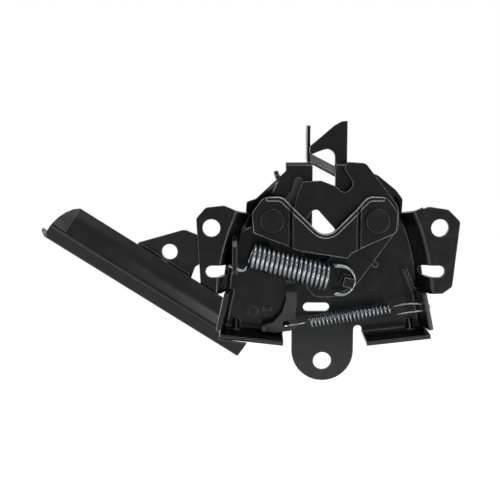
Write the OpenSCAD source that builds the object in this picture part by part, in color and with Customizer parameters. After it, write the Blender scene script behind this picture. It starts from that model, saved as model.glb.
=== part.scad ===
// Bonnet latch in millimetres: X to the right, Y away from the viewer, Z up.
// The origin is midway between the two upper bolt holes, on the front face of the ears.

/* [Base plate] */
// Thickness of the base sheet
sheet = 2.3; // [1.8:0.1:2.6]
// Depth from the front of the ears to the front of the floor
pan_depth = 14; // [13:0.5:16]
// How far the lower walls stand in front of the ears
lower_reach = 3; // [1:0.5:5]
// Inside radius of the bends in the base sheet
bend_r = 1.8; // [1:0.1:2.5]
// Spread of a side wall between the floor and the ear
wall_spread = 4.6; // [3.5:0.1:6]
// Distance between the two upper bolt holes
bolt_spacing = 114; // [112:0.5:118]
// Diameter of the upper bolt holes
bolt_d = 8.8; // [7:0.1:9.5]
// Distance between the two locating slots
slot_spacing = 108.4; // [106:0.2:111]
// Height of the locating slots below the bolt holes
slot_drop = 22; // [20:0.5:24]
// Length of a locating slot
slot_l = 11.5; // [9:0.5:13]
// Width of a locating slot
slot_w = 6; // [4.5:0.1:7]
// Diameter of the lower bolt hole
tab_hole_d = 9.5; // [7:0.1:11]
// Height of the lower bolt hole below the upper ones
tab_hole_drop = 71.5; // [69:0.5:75]
// Half width of the lower tab
tab_half = 16.1; // [14:0.1:17]

/* [Striker slot] */
// Width of the striker slot
striker_w = 11.6; // [10:0.1:12.5]
// Height of the top edge of the floor
top_z = 31.8; // [30:0.2:34]
// Height of the bottom of the striker slot
striker_bottom = -8; // [-10:0.5:-6]

/* [Pivots] */
// Distance of each front rivet from the centre line
rivet_x = 26.6; // [26:0.1:27.5]
// Height of the front rivets
rivet_z = 3.1; // [2:0.1:4]
// Diameter of a front rivet's head
rivet_head_d = 13; // [12:0.1:15]
// Thickness of a front rivet's head
rivet_head_t = 2.2; // [1.5:0.1:3]
// Diameter of the rivet shanks
shank_d = 8; // [6:0.1:9]
// Outer diameter of the bushes that the claw and lever turn on
bush_d = 12; // [11:0.1:13]
// Radial running clearance of a bush
running = 0.05; // [0.02:0.01:0.1]
// Axial play of a moving plate
play = 0.1; // [0.05:0.05:0.2]

/* [Claw and lever] */
// Thickness of the claw
claw_t = 3.6; // [3:0.1:4]
// Thickness of the release lever
lever_t = 2.6; // [2:0.1:3]
// Thickness of the lever's rear washer
lever_washer_t = 0.5; // [0.3:0.1:0.8]
// Thickness of the washer in front of the claw
claw_washer_t = 0.5; // [0.3:0.1:0.8]
// Radius of the claw's outer edge about its pivot
claw_edge_r = 42.4; // [41:0.1:43]
// Height of the claw's catch tooth over that edge
tooth_h = 2.6; // [2.2:0.1:2.8]
// Diameter of the lever's catch pin
catch_d = 5; // [4:0.1:6]
// Turn of the claw from open to shut
claw_turn = 41; // [38:1:42]

/* [Bridge plate] */
// Thickness of the bridge plate
bridge_t = 2; // [1.5:0.1:2.5]
// How far the bridge's middle stands in front of its ends
bridge_rise = 2.5; // [2:0.1:3]
// Half width of the raised middle
bridge_half = 16.3; // [15:0.1:18]

/* [Springs] */
// Outer diameter of the claw spring
claw_spring_d = 14.7; // [13:0.1:15]
// Wire of the claw spring
claw_wire = 2.2; // [1.8:0.1:2.4]
// Outer diameter of the lever spring
lever_spring_d = 7; // [6:0.1:7.4]
// Wire of the lever spring
lever_wire = 1.2; // [1:0.1:1.3]
// Wire of the safety spring
safety_wire = 3; // [2.4:0.1:3.2]

/* [Safety hook] */
// Thickness of the safety hook
hook_t = 2.5; // [2:0.1:3]
// Gap between the floor and the safety hook
hook_gap = 4; // [3.8:0.1:5]
// Height of the safety hook's pivot
hook_pivot_z = -20; // [-21:0.5:-19]
// Depth of the finger bar behind the hook
bar_back = 18; // [16:0.5:22]

/* [Cable guard] */
// Thickness of the guard sheet
guard_t = 2; // [1.6:0.1:2.2]
// Slope of the guard below the horizontal
guard_slope = 32.4; // [32:0.1:33]
// Diameter of the guard's bolt hole
guard_hole_d = 7.8; // [6:0.1:8.5]

/* [Hidden] */
$fn = 48;
corner_steps = 5;
gap = 0.3;
floor_y = pan_depth;
back_y = pan_depth + sheet;
low_y = -lower_reach;
pivot_claw = [rivet_x, rivet_z];
pivot_lever = [-rivet_x, rivet_z];
pivot_hook = [0, hook_pivot_z];

// Layers from the floor towards the viewer
lever_back = floor_y - lever_washer_t - play;
lever_front = lever_back - lever_t;
claw_back = lever_front - 2 * play;
claw_front = claw_back - claw_t;
bridge_back = claw_front - play - claw_washer_t;
bridge_front = bridge_back - bridge_t;
foot_front = claw_front + 0.2;
joggle = lever_front - foot_front;

// Layers behind the floor
hook_front = back_y + hook_gap;
hook_back = hook_front + hook_t;
safety_turns = 2.39;
sleeve_end = hook_back + 0.7 + safety_wire + safety_turns * (safety_wire + 0.1);

function unit(v) = v / norm(v);

// Points of a rounded corner between the lines from a and to b
function corner(a, p, b, r) =
    let (u = unit(a - p), w = unit(b - p), half = acos(max(-1, min(1, u * w))) / 2,
         centre = p + unit(u + w) * r / sin(half), start = p + u * r / tan(half) - centre,
         first = atan2(start[1], start[0]), side = sign(cross(p - a, b - p)))
    [for (i = [0:corner_steps]) let (t = first + side * (180 - 2 * half) * i / corner_steps)
        centre + r * [cos(t), sin(t)]];

// Outline through points [x, z, corner radius]
function outline(p) = [for (i = [0:len(p) - 1])
    let (n = len(p), a = p[(i + n - 1) % n], c = p[i], b = p[(i + 1) % n])
    each c[2] > 0 ? corner([a[0], a[1]], [c[0], c[1]], [b[0], b[1]], c[2]) : [[c[0], c[1]]]];

// Point at an angle and distance from a pivot
function polar(c, r, t) = c + r * [cos(t), sin(t)];

function mirrored(p) = [for (q = p) [-q[0], q[1], q[2]]];

// Plate with its outline in X and Z, from y0 backwards
module plate(y0, t) {
    translate([0, y0 + t, 0]) rotate([90, 0, 0]) linear_extrude(t) children();
}

// Round bar along Y about a point in X and Z
module bar(c, d, y0, y1) {
    translate([c[0], y1, c[1]]) rotate([90, 0, 0]) cylinder(h = y1 - y0, d = d);
}

module ring(c, outer, inner, y0, y1) {
    difference() {
        bar(c, outer, y0, y1);
        bar(c, inner, y0 - 1, y1 + 1);
    }
}

// Section in outward distance and Y, run from point a to point b in X and Z
module along(a, b) {
    d = b - a;
    translate([a[0], 0, a[1]]) rotate([0, atan2(d[0], d[1]), 0]) linear_extrude(norm(d)) children();
}

// Section of a bent wall: floor strip, bend, wall with a slope, up to y_end
function wall_section(spread, y_end) =
    let (run = floor_y - y_end, a = atan2(spread, run), top = [spread, y_end],
         outer = top + sheet * [cos(a), sin(a)], foot = outer[0] - tan(a) * (back_y - outer[1]))
    outline([[-5, floor_y + 0.8, 0], [-2.2, floor_y, 0], [0, floor_y, bend_r], [top[0], top[1], 0.4],
             [outer[0], outer[1], 0.4], [foot, back_y, bend_r + sheet], [-2.2, back_y, 0], [-5,
                 back_y - 0.8, 0]]);

// Section of a side wall that turns out into an ear
function ear_section() =
    let (a = atan2(wall_spread, floor_y), off = sheet * [cos(a), sin(a)],
         line = wall_spread + off[0] + tan(a) * off[1])
    outline([[-5, floor_y + 0.8, 0], [-2.2, floor_y, 0], [0, floor_y, bend_r], [wall_spread, 0, ear_r],
             [wall_spread + 5.6, 0, 0], [wall_spread + 5.6, sheet, 0],
             [line - tan(a) * sheet, sheet, ear_r - sheet], [line - tan(a) * back_y, back_y, bend_r + sheet],
             [-2.2, back_y, 0], [-5, back_y - 0.8, 0]]);

// Side walls are cones about an axis far across the plate
wall_r = 112.4;
wall_centre = [48.9 - wall_r, -40];
ear_r = 3.6;
wall_low = 3.2;
wall_high = 24.2;
crease = [[20.8, -56], [53.6, -52.3]];
low_wall = [[46.926, -33.3], [51, -52.6]];
flange_spread = 1.2;
low_spread = 1.6;
anchor_x = -45.4;
window = [-3.4, -42.75];
window_h = 4.6;
window_run = 4.5;
slot_centre = [slot_spacing / 2, -slot_drop];
bolt_centre = [bolt_spacing / 2, 0];
tab_centre = [0, -tab_hole_drop];

module ear_wall() {
    translate([wall_centre[0], 0, wall_centre[1]]) rotate([-90, 0, 0])
        rotate([0, 0, -wall_high]) rotate_extrude(angle = wall_high - wall_low, $fn = 360)
            translate([wall_r, 0]) polygon(ear_section());
}

// Ear outlines, the left one mirrored
ear_right = [[40, 6.6, 0], [51.5, 10.6, 4], [61, 9.2, 2.5], [67.1, 3.1, 2.5], [63.9, -29.8, 2.5], [56.6,
    -35, 2.5],
    [50, -33.6, 0]];
ear_left = [[40, 6.6, 0], [50.6, 11.2, 4], [59.8, 10.2, 2.5], [64.6, 4.8, 2.5], [62.6, -28.6, 2.5], [56.2,
    -34.4, 2.5],
    [50, -33.6, 0]];

module ear(points) {
    difference() {
        plate(0, sheet) polygon(outline(points));
        bar(wall_centre, 2 * (wall_r + wall_spread + 5.5), -1, sheet + 1);
        bar(bolt_centre, bolt_d, -1, sheet + 1);
    }
}

module low_corner() {
    wall_end = low_wall[1] + 0.04 * (low_wall[0] - low_wall[1]);
    flange_end = crease[1] + 0.02 * (crease[0] - crease[1]);
    along(wall_end, low_wall[0]) polygon(wall_section(low_spread, low_y));
    along(crease[0], flange_end) polygon(wall_section(flange_spread, low_y));
}

// Pressed bead in the corner between the floor and a bottom flange
module gusset() {
    translate([45, floor_y - 1.7, -51.9]) rotate([-45, 0, 0]) translate([0, 0, -3.4])
        cylinder(h = 6.8, d = 4);
}

module floor_sheet() {
    difference() {
        union() {
            plate(floor_y, sheet) polygon(outline([[-19.4, top_z - 3.2, 0], [-19.4, 27.8, 1.5], [-34.7,
                13.6, 5],
                [-39.6, 12, 1.5], [-40, 4, 0], [40, 4, 0], [40.4, 13.4, 2], [36.9, 18.1, 10], [27.6, 25.6, 8],
                [20.4, top_z - 3.2, 0]]));
            intersection() {
                translate([-60, floor_y, -36.5]) cube([120, sheet, 44.5]);
                bar(wall_centre, 2 * wall_r, 0, back_y + 1);
                mirror([1, 0, 0]) bar(wall_centre, 2 * wall_r, 0, back_y + 1);
            }
            plate(floor_y, sheet) polygon([[-46.4, -36], [-low_wall[1][0], low_wall[1][1]], [-crease[0][0],
                crease[0][1]],
                [crease[0][0], crease[0][1]], low_wall[1], [46.4, -36]]);
            plate(floor_y, sheet) polygon([[-tab_half, -50], [-tab_half, -65.8], [tab_half, -65.8],
                [tab_half, -50]]);
            bar([0, -81.8 + tab_half], 2 * tab_half, floor_y, back_y);
            for (x = [[-19.4, -striker_w / 2], [striker_w / 2 + 0.4, 12]]) top_lip(x[0], x[1]);
        }
        // Striker slot, notches beside the tab, window and holes
        plate(floor_y - 1, sheet + 8) polygon([[-striker_w / 2, striker_bottom + 5.8], [striker_w / 2,
            striker_bottom + 5.8],
            [striker_w / 2, 40], [-striker_w / 2, 40]]);
        bar([0, striker_bottom + 5.8], striker_w, floor_y - 1, back_y + 1);
        for (side = [-1, 1]) {
            plate(floor_y - 1, sheet + 2) polygon(outline([[side * tab_half, -70, 0], [side * tab_half,
                -52.4, 2.1],
                [side * (tab_half + 4.4), -52.4, 2.1], [side * (tab_half + 4.4), -70, 0]]));
        }
        for (x = [-window_run, window_run]) bar(window + [x, 0], window_h, floor_y - 1, back_y + 1);
        translate([window[0] - window_run, floor_y - 1, window[1] - window_h / 2]) cube([2 * window_run,
            sheet + 2, window_h]);
        bar(pivot_claw, shank_d, floor_y - 1, back_y + 1);
        bar(pivot_lever, shank_d, floor_y - 1, back_y + 1);
        bar(pivot_hook, 7, floor_y - 1, back_y + 1);
        bar(tab_centre, tab_hole_d, floor_y - 1, back_y + 1);
    }
}

// Short lip that turns back along the top edge
module top_lip(x0, x1) {
    translate([x0, 0, 0]) rotate([90, 0, 90]) linear_extrude(x1 - x0)
        polygon(outline([[floor_y, top_z - 3.6, 0], [floor_y, top_z, sheet + 0.8], [back_y + 3,
            top_z + 0.3, 0.3],
            [back_y + 3.2, top_z - 2, 0.3], [back_y, top_z - 2.3, 0.8], [back_y, top_z - 3.6, 0]]));
}

// Tab lanced forward from the floor, with the hole that holds the claw spring
module spring_anchor() {
    difference() {
        translate([anchor_x - sheet / 2, 0, 0]) rotate([90, 0, 90]) linear_extrude(sheet)
            polygon(outline([[-4.5, -24, 3], [floor_y + 0.5, -24, 0], [floor_y + 0.5, -5.6, 0], [-1, -5.6,
                2.5], [-4.5, -9.5, 2.5]]));
        translate([anchor_x, spring_y, anchor_z]) rotate([0, 90, 0]) cylinder(h = 10, d = 4.6, center = true);
    }
}

module base_plate() {
    color("#1b1c1d") difference() {
        union() {
            floor_sheet();
            for (side = [0, 1]) mirror([side, 0, 0]) {
                ear_wall();
                ear(side == 0 ? ear_right : ear_left);
                low_corner();
                gusset();
            }
            spring_anchor();
            // Lanced stop for the claw, small clip tab for the cable end and a weld mark
            translate([44, 0, -27.6]) rotate([0, -23, 0]) translate([-0.9, floor_y - 5, -5.8]) cube([1.8,
                5.5, 11.6]);
            translate([-30.8, floor_y - 2.6, -44.2]) cube([4.2, 3, 1.6]);
            bar([-36.2, -45.1], 5.2, floor_y - 0.35, floor_y + 0.5);
        }
        for (side = [-1, 1]) {
            for (x = [-1, 1]) bar([side * (slot_centre[0] + x * (slot_l - slot_w) / 2), slot_centre[1]],
                slot_w, -2, floor_y - 2);
            translate([side * slot_centre[0] - (slot_l - slot_w) / 2, -2, slot_centre[1] - slot_w / 2])
                cube([slot_l - slot_w, floor_y, slot_w]);
        }
        translate([lever_eye[0], lever_spring_y, lever_eye[1]]) rotate([0, 90, 0]) cylinder(h = 14,
            d = 5.6, center = true);
    }
}

// Guard coordinates: s along the channel to the lower right, n across it upwards
function guard_point(s, n) = let (c = cos(guard_slope), k = sin(guard_slope))
    [s * c + (n - 76.7) * k, -s * k + (n - 76.7) * c];

module guard_frame() {
    o = guard_point(0, 0);
    translate([o[0], 0, o[1]]) rotate([0, guard_slope, 0]) children();
}

guard_front = -gap - guard_t;
guard_section = outline([[guard_front, 19.8, 0.6], [guard_front + guard_t, 19.8, 0.6],
    [guard_front + guard_t, 14.5, 12],
    [guard_front - 1.2, 6.4, 3], [guard_front + 2.2, -0.3, 1.2], [9, -0.3, 0.5], [9, -2.2, 0.5],
        [guard_front + 1, -2.2, 3],
    [guard_front - 3.4, 5.4, 3.5], [guard_front, 13.5, 14]]);

// Curved left end of the face, with the lower flange left longer
guard_plan = [[-120.6, -4], [-2.5, -4], [-2.5, 25], [-102, 25], [-108, 20], [-110.8, 17.8], [-113.2, 14.5],
    [-115, 10.4],
    [-116, 5], [-116.2, -0.1], [-120.6, -0.2]];
rib_h = 0.3;
rib_pitch = 1.2;

module cable_guard() {
    color("#232526") difference() {
        union() {
            intersection() {
                union() {
                    guard_frame() rotate([90, 0, 90]) translate([0, 0,
                        -125]) linear_extrude(130) polygon(guard_section);
                    guard_ribs();
                }
                guard_frame() plate(-20, 40) polygon(guard_plan);
            }
            guard_web();
        }
        // Slanted end of the lower flange
        guard_frame() translate([0, 0, -4]) linear_extrude(3.85)
            polygon([[-122, -8], [-115.2, -8], [-115.2, -2.5], [-120.6, 9.5], [-122, 9.5]]);
        bar(guard_hole, guard_hole_d, -5, 10);
        // Clear of the pan's lower left corner
        plate(low_y - 20, 60) polygon([[-52, -20], [-51.09, -34], [-54.7, -51.12], [-53, -51.46], [-53,
            -52.2],
            [-53.4, -55.9], [-20.4, -59.6], [-20, -20]]);
    }
}

guard_hole = [-78.1, -12.2];

// Fine pressed ribs across the face at its left end
module guard_ribs() {
    guard_frame() intersection() {
        rotate([90, 0, 90]) translate([-rib_h, 0, -118]) linear_extrude(14) polygon(guard_section);
        for (i = [0:5]) translate([rib_pitch * i - 114.65, -20, 7]) cube([0.5, 40, 12]);
    }
}

// Ear of the guard, behind the base plate's left ear
module guard_web() {
    plate(sheet, guard_t) polygon(outline([[-94.5, -9.4, 0], [-94, -7.6, 0.8], [-70.6, -1, 5], [-62, -4.6,
        2], [-61, -17, 2],
        [-65.4, -20, 1], [-67.6, -26, 0]]));
    guard_frame() rotate([90, 0, 90]) translate([0, 0, -75]) linear_extrude(30)
        polygon([[guard_front + 0.4, 17.6], [guard_front + 0.4, 18.8], [sheet + 0.1, 20.3],
            [sheet + guard_t - 0.3, 20.3],
            [sheet + guard_t - 0.3, 18.6], [guard_front + guard_t, 17]]);
}

// Section of the bridge in X and Y, with its middle standing forward
module bridge_section() {
    raise = bridge_rise;
    translate([0, 0, -20]) linear_extrude(40) polygon(outline([
        [-40, bridge_front, 0], [-bridge_half - 1.6, bridge_front, 0.8], [-bridge_half,
            bridge_front - raise, 1.2],
        [bridge_half, bridge_front - raise, 1.2], [bridge_half + 1.6, bridge_front, 0.8], [40,
            bridge_front, 0],
        [40, bridge_back, 0], [bridge_half + 0.2, bridge_back, 1], [bridge_half - 1.4, bridge_back - raise,
            0.8],
        [-bridge_half + 1.4, bridge_back - raise, 0.8], [-bridge_half - 0.2, bridge_back, 1], [-40,
            bridge_back, 0]]));
}

rim_h = 0.9;

module bridge_plate() {
    color("#1d1e1f") difference() {
        union() {
            intersection() {
                plate(bridge_front - bridge_rise - 1, 10) polygon(outline([[0.4, -6.1, 7], [21.6, 15.4, 5],
                    [31, 15.2, 6],
                    [36.8, 7, 4], [36, -3, 2], [13, -13.2, 1.5], [11.6, -15.6, 1], [-13, -11.8, 1.5], [-36,
                        -3, 2],
                    [-36.8, 7, 4], [-31, 15.2, 6], [-21.6, 15.4, 5]]));
                bridge_section();
            }
            // Raised rim along the upper edge
            intersection() {
                plate(bridge_front - bridge_rise - 3, 12) polygon(outline([[-29.5, 14.95, 0], [-21.85,
                    15.1, 4.8],
                    [0.4, -6.5, 7.2], [21.85, 15.1, 4.8], [29.5, 14.95, 0], [29.5, 13.2, 0], [22.6, 13.2,
                        3.2],
                    [0.4, -8.9, 9], [-22.6, 13.2, 3.2], [-29.5, 13.2, 0]]));
                translate([0, -rim_h, 0]) bridge_section();
            }
        }
        bar(pivot_claw, shank_d, bridge_front - 5, bridge_back + 1);
        bar(pivot_lever, shank_d, bridge_front - 5, bridge_back + 1);
    }
}

// Claw outline: arm with the catch tooth, mouth, upper finger, boss and tail
tooth_r = claw_edge_r + tooth_h;
tooth_back = 174.5;
module claw_2d() {
    p = pivot_claw;
    arc = [for (t = [152.5:3.5:173.5]) let (q = polar(p, claw_edge_r, t)) [q[0], q[1], 0]];
    tooth = [for (q = [polar(p, claw_edge_r, tooth_back), polar(p, tooth_r, tooth_back + 0.6), polar(p,
        tooth_r, tooth_back + 2.6),
        polar(p, claw_edge_r, tooth_back + 10)]) [q[0], q[1], 0]];
    polygon(outline([[-1.9, 23.2, 4], each arc, each tooth, [-12, -0.4, 2], [-6, 8.6, 3], [-3.4, 8.4, 1.5],
        [6.4, -2.6, 4],
        [3, -16, 8], [-9.8, -30, 3], [-4.6, -36.4, 6], [5, -36.2, 5], [16.6, -30, 3], [30.8, -10, 4],
        [37.6, -1, 6], [37.4, 10, 10], [20.4, 32, 3.5], [11.2, 32.6, 1.6], [9.6, 29.4, 2], [14.6, 21.6, 3.2],
        [10.4, 15.6, 3.6], [5.4, 20.4, 3]]));
    translate([26, -19.4]) circle(d = 3.2);
}

lug = [10.7, -26.8];
spring_tilt = atan2(11.2, 40.9);

module claw() {
    color("#202122") difference() {
        union() {
            plate(claw_front, claw_t) claw_2d();
            // Lug for the spring's eye, with a lip that keeps the eye on
            translate([lug[0], 0, lug[1]]) rotate([0, spring_tilt, 0]) {
                translate([-1.8, spring_y - 3.4, -2.4]) cube([3.6, claw_front - spring_y + 3.9, 4.8]);
                translate([-1.8, spring_y - 3.4, -2.4]) cube([5.4, 1.6, 4.8]);
            }
        }
        bar(pivot_claw, bush_d + 2 * running, claw_front - 1, claw_back + 1);
    }
}

catch_angle = tooth_back + claw_turn - asin(catch_d / 2 / (claw_edge_r + gap + catch_d / 2)) - 0.5;
catch_point = polar(pivot_claw, tooth_r + gap + catch_d / 2, catch_angle);

module lever_head_2d() {
    translate(pivot_lever) circle(r = 9.6);
    polygon(outline([[-31, 9, 0], [-19.6, 14.4, 3], [-16.4, 18.6, 5], [-14.9, 24.6, 1.6], [-11.6, 25, 1.6],
        [-10.2, 19, 4],
        [-17.4, 2, 3], [-7.2, -21, 2.6], [-10.4, -26, 2.6], [-13.9, -27, 1], [-13.9, -28.4, 0], [-19.2,
            -28.4, 0], [-19.2, -25, 4],
        [-33, 0, 4]]));
}

module lever_foot_2d() {
    polygon(outline([[-19.2, -35.2, 0], [-19.2, -38, 5], [-21.4, -44.6, 8], [-26, -49.8, 4], [-31.6, -50.8,
        0.8],
        [-31.6, -53.8, 1], [-25, -54.9, 4], [-16.6, -53.8, 3], [-12.6, -50.6, 2.5], [-14.6, -45.6, 3],
        [-13.9, -39, 4], [-13.9, -35.2, 0]]));
}

lever_eye_left = [-19.2, -50.4];

module release_lever() {
    color("#3c3d3e") difference() {
        union() {
            plate(lever_front, lever_t) lever_head_2d();
            plate(foot_front, lever_t) lever_foot_2d();
            translate([-19.2, 0, 0]) rotate([90, 0, 90]) linear_extrude(5.3) polygon(outline([
                [foot_front, -35.8, 0], [foot_front, -33.6, 1], [lever_front, -29.6, 1], [lever_front,
                    -27.5, 0],
                [lever_back, -27.5, 0], [lever_back, -30.6, 1.5], [foot_front + lever_t, -34.6, 1.5],
                [foot_front + lever_t, -35.8, 0]]));
            bar(catch_point, catch_d, claw_front + 0.4, lever_front + 0.5);
            // Bent end of the foot that takes the cable
            translate([-31.6, foot_front - 3, -53.6]) cube([1.8, 3.4, 2.8]);
        }
        bar(pivot_lever, bush_d + 2 * running, lever_front - 1, lever_back + 1);
        bar(lever_eye_left, 3.6, foot_front - 5, foot_front + lever_t + 1);
    }
}

module rivet(c) {
    bar(c, shank_d - 2 * running, bridge_front - 0.2, back_y + 0.5);
    translate([c[0], bridge_front, c[1]]) rotate([90, 0, 0]) rotate_extrude()
        polygon(outline([[0, 0, 0], [rivet_head_d / 2, 0, 0.3], [rivet_head_d / 2, rivet_head_t, 0.9], [0,
            rivet_head_t, 0]]));
    translate([c[0], back_y, c[1]]) rotate([-90, 0, 0]) rotate_extrude()
        polygon(outline([[0, 0, 0], [6, 0, 0.3], [5.2, 2, 0.8], [0, 2, 0]]));
}

module claw_rivet() { color("#242526") rivet(pivot_claw); }
module lever_rivet() { color("#242526") rivet(pivot_lever); }

module claw_bush() { color("#8d8f90") ring(pivot_claw, bush_d, shank_d, bridge_back, floor_y); }
module lever_bush() { color("#8d8f90") ring(pivot_lever, bush_d, shank_d, bridge_back, floor_y); }

ring_bore = bush_d + 0.2;
module claw_washer() { color("#8d8f90") ring(pivot_claw, 18, ring_bore, bridge_back,
    bridge_back + claw_washer_t); }
module claw_spacer() { color("#8d8f90") ring(pivot_claw, 18, ring_bore, claw_back + play, floor_y); }
module lever_washer() { color("#8d8f90") ring(pivot_lever, 18, ring_bore, lever_back + play, floor_y); }
module lever_spacer() { color("#8d8f90") ring(pivot_lever, 15, ring_bore, bridge_back, lever_front - play); }

// Wire swept along a path, its first normal turned towards a given direction
function tangent(p, i) = unit(p[min(i + 1, len(p) - 1)] - p[max(i - 1, 0)]);
function square_to(v, t) = unit(v - (v * t) * t);
function normals(p, first) = [for (i = 0, n = square_to(first, tangent(p, 0)); i < len(p);
    i = i + 1, n = square_to(n, tangent(p, i))) n];

module wire(p, d, sides, first) {
    n = normals(p, first);
    last = (len(p) - 1) * sides;
    points = [for (i = [0:len(p) - 1], k = [0:sides - 1]) let (t = tangent(p, i), a = 360 * k / sides)
        p[i] + d / 2 * (cos(a) * n[i] + sin(a) * cross(t, n[i]))];
    faces = [[for (k = [0:sides - 1]) k], [for (k = [sides - 1:-1:0]) last + k],
        for (i = [0:len(p) - 2], k = [0:sides - 1]) let (a = i * sides + k, b = i * sides + (k + 1) % sides)
            each [[a, a + sides, b + sides], [a, b + sides, b]]];
    polyhedron(points, faces);
}

// Coil from a to b in 3-D, turning from angle first, with u and v across the axis
function coil(a, b, r, turns, first, per_turn) =
    let (axis = unit(b - a), v = [0, 1, 0], u = cross(v, axis), n = round(turns * per_turn))
    [for (i = [0:n]) let (t = first + 360 * turns * i / n) a + (b - a) * i / n + r * (cos(t) * u + sin(t) * v)];

// Bend of a wire in the plane of u and v about a centre
function bend(c, r, u, v, t0, t1,
    n) = [for (i = [0:n]) let (t = t0 + (t1 - t0) * i / n) c + r * (cos(t) * u + sin(t) * v)];

spring_y = claw_front - gap - claw_spring_d / 2;
claw_coil_r = (claw_spring_d - claw_wire) / 2;
coil_left = [-37.6, spring_y, -13.9];
coil_right = [2.2, spring_y, -24.8];
anchor_z = -20.2;
axis_u = [cos(spring_tilt), 0, -sin(spring_tilt)];
axis_w = [sin(spring_tilt), 0, cos(spring_tilt)];
eye_centre = [lug[0] - 3.2, spring_y, lug[1] + 0.5];
eye_r = 7.3;

module claw_spring() {
    color("#6f7275") wire([
        [anchor_x - 3.2, spring_y, anchor_z + 1.6],
        [anchor_x - 1.4, spring_y, anchor_z + 0.8],
        [anchor_x + 0.8, spring_y, anchor_z - 0.4],
        [anchor_x + 2.8, spring_y, anchor_z - 1.4],
        [anchor_x + 4.4, spring_y, anchor_z - 1],
        each coil(coil_left, coil_right, claw_coil_r, 17.5, 0, 14),
        each bend(eye_centre, eye_r, axis_u, axis_w, 90, -100, 14)
    ], claw_wire, 8, [0, 0, 1]);
}

lever_spring_y = claw_front - gap - lever_spring_d / 2 - 0.2;
lever_coil_r = (lever_spring_d - lever_wire) / 2;
lever_eye = [50, -40.6];
small_left = [-7.6, lever_spring_y, -48.4];
small_right = [33.6, lever_spring_y, -41.6];

module lever_spring() {
    color("#5d6063") wire([
        [lever_eye_left[0] - 0.4, foot_front + lever_t + 1.4, lever_eye_left[1]],
        [lever_eye_left[0] - 0.2, foot_front + 0.2, lever_eye_left[1]],
        [lever_eye_left[0] + 0.6, lever_spring_y + 1, lever_eye_left[1] + 0.2],
        [lever_eye_left[0] + 2.4, lever_spring_y, lever_eye_left[1] + 0.5],
        [small_left[0] - 2, lever_spring_y, small_left[2] - 0.4],
        each coil(small_left, small_right, lever_coil_r, 21, 90, 8),
        [small_right[0] + 2, lever_spring_y, small_right[2] + 1.6],
        [lever_eye[0] - 8, lever_spring_y, lever_eye[1] + 1.9],
        each bend([lever_eye[0] + 1.8, lever_spring_y, lever_eye[1]], 1.6, [1, 0, 0], [0, 0, 1], 90, -90, 6),
        [lever_eye[0] - 14, lever_spring_y, lever_eye[1] - 3.8]
    ], lever_wire, 6, [0, 1, 0.2]);
}

bar_tilt = 40;

module safety_hook() {
    bar_y = hook_front + bar_back;
    color("#1e1f20") difference() {
        union() {
            plate(hook_front, hook_t) polygon(outline([[-9, -20, 8], [-3, -31, 8], [8, -28, 6], [15.5, -10,
                8], [16, 12, 8], [12.4, 24, 6],
                [12.4, 53.2, 0.6], [9.6, 53, 1.5], [5.6, 50.8, 8], [-0.9, 45.2, 12], [-6.9, 40.2, 1.4],
                [-7, 35.6, 1.2], [-2, 37.6, 4], [6.2, 40.4, 4.2],
                [6.2, 30, 3], [7.6, 14, 6], [7.6, -6, 6], [-2, -10, 5]]));
            // Right edge turned back, rear bar across and the finger tab at its end
            translate([12.4 - hook_t * 0.6, hook_front, 22]) cube([hook_t * 0.6, bar_back + 1.6, 31]);
            translate([0, bar_y, 30]) rotate([-bar_tilt, 0, 0]) translate([0, 0, -30])
                plate(0, 1.6) polygon(outline([[-7.2, 39.3, 1], [12.4, 25.95, 0], [12.4, 19.8, 0], [-7.2,
                    33.4, 1]]));
            translate([-7.2, bar_y, 32.6]) cube([1.7, 13, 18.4]);
        }
        bar(pivot_hook, 10 + 2 * running, hook_front - 1, hook_back + 1);
    }
}

module safety_rivet() {
    color("#242526") union() {
        bar(pivot_hook, 7 - 2 * running, floor_y, sleeve_end + 0.5);
        translate([0, sleeve_end + 0.8, pivot_hook[1]]) rotate([-90, 0, 0]) rotate_extrude()
            polygon(outline([[0, -0.6, 0], [3, -0.6, 0], [3, 0, 0], [6.4, 0, 0.3], [5.4, 2.2, 0.9], [0,
                2.2, 0]]));
    }
}

module safety_sleeve() { color("#8d8f90") ring(pivot_hook, 10, 7, hook_front - play, sleeve_end); }
module safety_spacer() { color("#8d8f90") ring(pivot_hook, 16, 7, back_y, hook_front - play); }
module safety_washer() { color("#8d8f90") ring(pivot_hook, 20, 7, sleeve_end, sleeve_end + 0.8); }

module safety_spring() {
    r = 7;
    y0 = hook_back + 0.4 + safety_wire / 2;
    y1 = y0 + safety_turns * (safety_wire + 0.1);
    c0 = [0, y0, pivot_hook[1]];
    c1 = [0, y1, pivot_hook[1]];
    color("#2e2f30") wire([
        [17.9, hook_front + 0.4, 6.6],
        [18, hook_back - 0.6, 6.6],
        [17.5, y0 - 0.3, 5.6],
        [15.8, y0, 2.2],
        each [for (i = [0:32]) let (t = -20 - 360 * safety_turns * i / 32) c0 + (c1 - c0) * i / 32 + r * [cos(t), 0, sin(t)]],
        [-20.8, y1 - 1, 18],
        [-23.2, y1 - 2.6, 24.2],
        [-24.2, y1 - 5.4, 26.6],
        [-24.2, floor_y - 1.6, 26.6]
    ], safety_wire, 8, [0, 1, 0]);
}

base_plate();
cable_guard();
bridge_plate();
claw();
claw_bush();
claw_washer();
claw_spacer();
claw_rivet();
release_lever();
lever_bush();
lever_washer();
lever_spacer();
lever_rivet();
claw_spring();
lever_spring();
safety_hook();
safety_sleeve();
safety_spacer();
safety_washer();
safety_rivet();
safety_spring();
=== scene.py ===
import math

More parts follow.
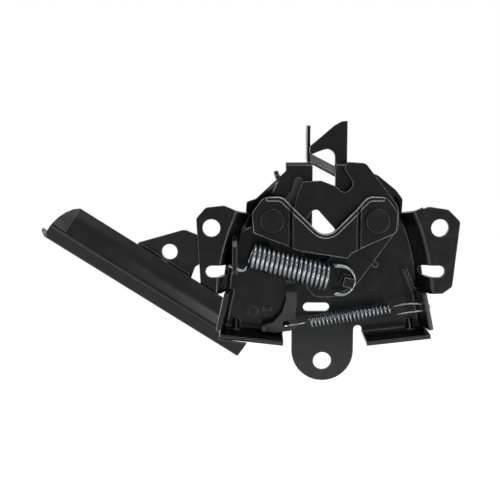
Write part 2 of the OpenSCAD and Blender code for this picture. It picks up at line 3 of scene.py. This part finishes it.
import bmesh
import bpy
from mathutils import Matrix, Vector


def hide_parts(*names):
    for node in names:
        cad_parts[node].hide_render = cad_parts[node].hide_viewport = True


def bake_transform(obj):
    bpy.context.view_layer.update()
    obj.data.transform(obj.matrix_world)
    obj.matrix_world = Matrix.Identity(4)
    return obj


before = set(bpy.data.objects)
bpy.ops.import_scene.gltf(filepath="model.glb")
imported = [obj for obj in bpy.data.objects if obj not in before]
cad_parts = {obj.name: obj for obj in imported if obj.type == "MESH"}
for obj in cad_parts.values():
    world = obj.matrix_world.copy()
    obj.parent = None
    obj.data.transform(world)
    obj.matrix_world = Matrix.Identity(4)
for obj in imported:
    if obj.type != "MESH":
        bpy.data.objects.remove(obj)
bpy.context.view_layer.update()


# Base plate: one pressing of 2.3 mm sheet with two ears, a sunk floor, lower walls and a bolt tab.
# It is dip-coated black, so the coat is thin, semi-gloss and slightly uneven, and its edges are soft and
# painted paler, partly as wear and partly as painted highlight.
def remap(tree, value, source, target):
    """Stretches a value from one range to another and holds it there."""
    node = tree.nodes.new("ShaderNodeMapRange")
    node.inputs["From Min"].default_value, node.inputs["From Max"].default_value = source
    node.inputs["To Min"].default_value, node.inputs["To Max"].default_value = target
    tree.links.new(value, node.inputs["Value"])
    return node.outputs["Result"]


def coat(name, colour, rough, mottle=0.06, grain=900.0, wear_and_highlight_grey=0.08, metallic=0.0):
    """Thin coat or oiled steel: cloudy tone, uneven gloss, fine ripple and soft edges painted paler,
    partly as wear and partly as painted highlight.
    """
    shine = 0.13
    cloud_scale, cloud_detail = 60.0, 5.0
    gloss_scale, gloss_detail = 170.0, 6.0
    ripple_detail, ripple_strength, ripple_height = 2.0, 0.12, 0.0001
    dark_stop, light_stop = (0.3, 0.75), (0.75, 1.3)  # place on the ramp, share of the colour
    gloss_range = (0.3, 0.7)
    edge_radius, edge_samples = 0.0007, 6
    wear_highlight_span = (0.985, 0.8)  # cosine between the rounded and the true normal
    wear_highlight_blueing = 1.02

    material = bpy.data.materials.new(name)
    material.use_nodes = True
    tree = material.node_tree
    nodes, links = tree.nodes, tree.links
    shader = nodes["Principled BSDF"]
    shader.inputs["Specular IOR Level"].default_value = shine
    shader.inputs["Metallic"].default_value = metallic
    coord = nodes.new("ShaderNodeTexCoord")

    def noise(scale, detail):
        """Noise that keeps its place on the piece."""
        texture = nodes.new("ShaderNodeTexNoise")
        texture.inputs["Scale"].default_value = scale
        texture.inputs["Detail"].default_value = detail
        links.new(coord.outputs["Object"], texture.inputs["Vector"])
        return texture.outputs["Fac"]

    cloud = noise(cloud_scale, cloud_detail)
    gloss = noise(gloss_scale, gloss_detail)
    ripple = noise(grain, ripple_detail)

    tone = nodes.new("ShaderNodeValToRGB")
    for stop, (place, share) in zip(tone.color_ramp.elements, (dark_stop, light_stop)):
        stop.position = place
        stop.color = tuple(c * share for c in colour) + (1.0,)
    links.new(cloud, tone.inputs["Fac"])

    soft_edge = nodes.new("ShaderNodeBevel")
    soft_edge.samples = edge_samples
    soft_edge.inputs["Radius"].default_value = edge_radius
    surface = nodes.new("ShaderNodeNewGeometry")
    facing = nodes.new("ShaderNodeVectorMath")
    facing.operation = "DOT_PRODUCT"
    links.new(soft_edge.outputs["Normal"], facing.inputs[0])
    links.new(surface.outputs["Normal"], facing.inputs[1])
    # Edge mask: a paler colour is painted where the rounded normal turns away from the true one,
    # standing for both wear and painted highlight lines.
    wear_highlight_mask = nodes.new("ShaderNodeMath")
    wear_highlight_mask.operation = "MULTIPLY"
    links.new(remap(tree, facing.outputs["Value"], wear_highlight_span, (0.0, 1.0)), wear_highlight_mask.inputs[0])
    links.new(gloss, wear_highlight_mask.inputs[1])
    wear_highlight_mix = nodes.new("ShaderNodeMixRGB")
    wear_highlight_mix.inputs["Color2"].default_value = (wear_and_highlight_grey, wear_and_highlight_grey, wear_and_highlight_grey * wear_highlight_blueing, 1.0)
    links.new(wear_highlight_mask.outputs["Value"], wear_highlight_mix.inputs["Fac"])
    links.new(tone.outputs["Color"], wear_highlight_mix.inputs["Color1"])
    links.new(wear_highlight_mix.outputs["Color"], shader.inputs["Base Color"])

    roughness = remap(tree, gloss, gloss_range, (rough - mottle, rough + mottle))
    links.new(roughness, shader.inputs["Roughness"])

    bump = nodes.new("ShaderNodeBump")
    bump.inputs["Strength"].default_value = ripple_strength
    bump.inputs["Distance"].default_value = ripple_height
    links.new(soft_edge.outputs["Normal"], bump.inputs["Normal"])
    links.new(ripple, bump.inputs["Height"])
    links.new(bump.outputs["Normal"], shader.inputs["Normal"])
    return material


weld_gap = 2e-6


def dress(node, material):
    """Gives a pressed or turned piece its finish, with flat faces flat and bends smooth."""
    flat_angle, crisp_angle, flat_weight = math.radians(1.0), math.radians(30.0), 100
    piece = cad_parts[node]
    piece.data.materials.clear()
    piece.data.materials.append(material)
    for face in piece.data.polygons:
        face.use_smooth = True
        face.material_index = 0
    weld = piece.modifiers.new("weld", "WELD")
    weld.merge_threshold = weld_gap
    flat = piece.modifiers.new("flat", "DECIMATE")
    flat.decimate_type = "DISSOLVE"
    flat.angle_limit = flat_angle
    crisp = piece.modifiers.new("crisp", "EDGE_SPLIT")
    crisp.split_angle = crisp_angle
    normals = piece.modifiers.new("normals", "WEIGHTED_NORMAL")
    normals.weight = flat_weight


black = (0.003, 0.0031, 0.0033)
dress("base_plate", coat("base_black_coat", black, rough=0.2, mottle=0.05, wear_and_highlight_grey=0.18))

# Cable guard: a long bent channel of 2 mm sheet with ribs pressed across its upper end.
# Its own bolt ear tucks behind the base's left ear, and its black coat is a little paler.
guard_black = (0.0045, 0.0046, 0.0049)
# The guard's ribs and edges are painted paler, as painted highlight lines as well as wear.
dress("cable_guard", coat("guard_black_coat", guard_black, rough=0.2, mottle=0.05, wear_and_highlight_grey=0.2))

# Release lever: cut and joggled from 2.6 mm sheet, left dull by a phosphate finish.
# It turns on a bush round the left rivet and carries the catch pin that holds the claw.
dull_grey = (0.013, 0.0132, 0.0138)
dress("release_lever", coat("lever_dull_grey", dull_grey, rough=0.42, mottle=0.08))

# Claw: the thickest blank, 3.6 mm, with a lug bent out for its spring, coated black.
# It turns on a bush round the right rivet, and the striker rubs its edges; the coat's paler edges are
# partly that wear and partly painted highlight.
dress("claw", coat("claw_black_coat", black, rough=0.2, mottle=0.05, wear_and_highlight_grey=0.28))

# Bridge plate: a joggled strap of 2 mm sheet across the front that carries both rivets.
# Its upper edge is raised to a rim, where the black coat's edges are painted palest, partly as wear and
# partly as painted highlight lines.
dress("bridge_plate", coat("bridge_black_coat", black, rough=0.18, mottle=0.05, wear_and_highlight_grey=0.55))

# Rivets, bushes and rings of the three pivots: turned steel, the rivets coated with the plates.
# Each rivet is headed over at both ends, and the rings keep the moving layers apart.
bright_steel = (0.35, 0.352, 0.36)
turned = coat("turned_steel", bright_steel, rough=0.35, mottle=0.08, grain=1500.0, wear_and_highlight_grey=0.5,
              metallic=1.0)
rivet_coat = coat("rivet_black_coat", black, rough=0.2, mottle=0.05, wear_and_highlight_grey=0.4)
for rivet in ("claw_rivet", "lever_rivet", "safety_rivet"):
    dress(rivet, rivet_coat)
for ring in ("claw_bush", "claw_washer", "claw_spacer", "lever_bush", "lever_washer", "lever_spacer",
             "safety_sleeve", "safety_spacer", "safety_washer"):
    dress(ring, turned)

# Springs: cold-wound wire of 2.2, 1.2 and 3 mm, each running between the frame and the piece it pulls.
# The two pull springs are oiled steel and hook into the base, and the turn spring is coated black
# and sits on the safety hook's sleeve.
dark_steel = (0.13, 0.132, 0.137)
wire_steel = coat("spring_wire_steel", dark_steel, rough=0.26, mottle=0.08, grain=1800.0, wear_and_highlight_grey=0.16,
                  metallic=1.0)
wire_black = coat("spring_black_coat", black, rough=0.3)


def wound(node, material):
    """Smooth round wire made from a spring's solid."""
    quad_bend, quad_skew = 0.9, 1.5
    shape = bmesh.new()
    shape.from_mesh(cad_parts[node].data)
    bmesh.ops.remove_doubles(shape, verts=shape.verts, dist=weld_gap)
    bmesh.ops.join_triangles(shape, faces=shape.faces, angle_face_threshold=quad_bend,
                             angle_shape_threshold=quad_skew)
    bmesh.ops.recalc_face_normals(shape, faces=shape.faces)
    mesh = bpy.data.meshes.new(node + "_wire")
    shape.to_mesh(mesh)
    shape.free()
    for face in mesh.polygons:
        face.use_smooth = True
    piece = bpy.data.objects.new(node + "_wire", mesh)
    bpy.context.scene.collection.objects.link(piece)
    mesh.materials.append(material)
    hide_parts(node)
    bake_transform(piece)
    smooth = piece.modifiers.new("smooth", "SUBSURF")
    smooth.levels = 1
    smooth.render_levels = 1


wound("claw_spring", wire_steel)
wound("lever_spring", wire_steel)
wound("safety_spring", wire_black)

# Safety hook: one folded strip of 2.5 mm sheet behind the base, coated black.
# It catches the bonnet if the claw lets go, and its finger tab is pushed aside by hand.
dress("safety_hook", coat("hook_black_coat", black, rough=0.2, mottle=0.05, wear_and_highlight_grey=0.3))

# Stage: pale paper floor well below the part, white surroundings and soft lamps.
# One lamp at the right is narrow, for the light lines along the bends.
floor_half, floor_height = 6.0, -0.4
floor = bpy.data.meshes.new("floor")
shape = bmesh.new()
bmesh.ops.create_grid(shape, x_segments=1, y_segments=1, size=floor_half)
bmesh.ops.translate(shape, verts=shape.verts, vec=(0, 0, floor_height))
shape.to_mesh(floor)
shape.free()
ground = bpy.data.objects.new("floor", floor)
bpy.context.scene.collection.objects.link(ground)


def seen_rays(tree, hidden, shown):
    """A strength that differs for what the camera and the shiny pieces see."""
    rays = tree.nodes.new("ShaderNodeLightPath")
    seen = rays.outputs["Is Camera Ray"]
    for kind in ("Is Glossy Ray", "Is Transmission Ray"):
        either = tree.nodes.new("ShaderNodeMath")
        either.operation = "MAXIMUM"
        tree.links.new(seen, either.inputs[0])
        tree.links.new(rays.outputs[kind], either.inputs[1])
        seen = either.outputs[0]
    return remap(tree, seen, (0.0, 1.0), (hidden, shown))


white, pale, paper_rough = (1, 1, 1, 1), (0.9, 0.9, 0.9, 1), 0.9
paper = bpy.data.materials.new("floor_paper")
paper.use_nodes = True
paper_shader = paper.node_tree.nodes["Principled BSDF"]
paper_shader.inputs["Base Color"].default_value = pale
paper_shader.inputs["Roughness"].default_value = paper_rough
paper_shader.inputs["Emission Color"].default_value = white
glow = seen_rays(paper.node_tree, hidden=0.0, shown=0.75)
paper.node_tree.links.new(glow, paper_shader.inputs["Emission Strength"])
floor.materials.append(paper)

world = bpy.data.worlds.new("surroundings")
bpy.context.scene.world = world
world.use_nodes = True
surround = world.node_tree.nodes["Background"]
surround.inputs["Color"].default_value = white
surround_light = seen_rays(world.node_tree, hidden=0.25, shown=1.0)
world.node_tree.links.new(surround_light, surround.inputs["Strength"])


def lamp(name, place, aim, size, watts):
    """Soft box at a place, turned to face a point."""
    light = bpy.data.lights.new(name, "AREA")
    light.shape = "RECTANGLE"
    light.size, light.size_y = size
    light.energy = watts
    box = bpy.data.objects.new(name, light)
    bpy.context.scene.collection.objects.link(box)
    box.location = place
    box.rotation_euler = (Vector(aim) - Vector(place)).to_track_quat("-Z", "Y").to_euler()


lamp("top_box", place=(0.1, -0.2, 0.8), aim=(0, 0, 0), size=(0.5, 0.14), watts=4.5)
lamp("left_box", place=(-0.55, -0.6, -0.14), aim=(0, 0, 0), size=(0.8, 0.5), watts=4.0)
lamp("right_strip", place=(0.36, -0.6, -0.18), aim=(0, 0, 0), size=(0.05, 0.42), watts=3.2)
lamp("front_box", place=(0.42, -0.76, 0.47), aim=(-0.05, 0, 0), size=(0.34, 0.26), watts=2.8)
lamp("low_box", place=(-0.05, -0.6, -0.28), aim=(-0.03, 0, -0.06), size=(0.8, 0.15), watts=1.2)

# Camera: in front of the middle of the part and a little above it, as in the photograph.
# A long lens keeps the ears and the channel in their true proportions.
view_distance, view_height = 0.45, math.radians(7.5)
sensor_mm, lens_mm = 36.0, 64.8
middle = Vector((-0.03775, 0.0, -0.011))
eye = bpy.data.cameras.new("camera")
eye.sensor_width = sensor_mm
eye.lens = lens_mm
camera = bpy.data.objects.new("camera", eye)
bpy.context.scene.collection.objects.link(camera)
camera.location = middle + view_distance * Vector((0, -math.cos(view_height), math.sin(view_height)))
camera.rotation_euler = (middle - camera.location).to_track_quat("-Z", "Y").to_euler()
bpy.context.scene.camera = camera
bpy.context.scene.view_settings.view_transform = "Standard"
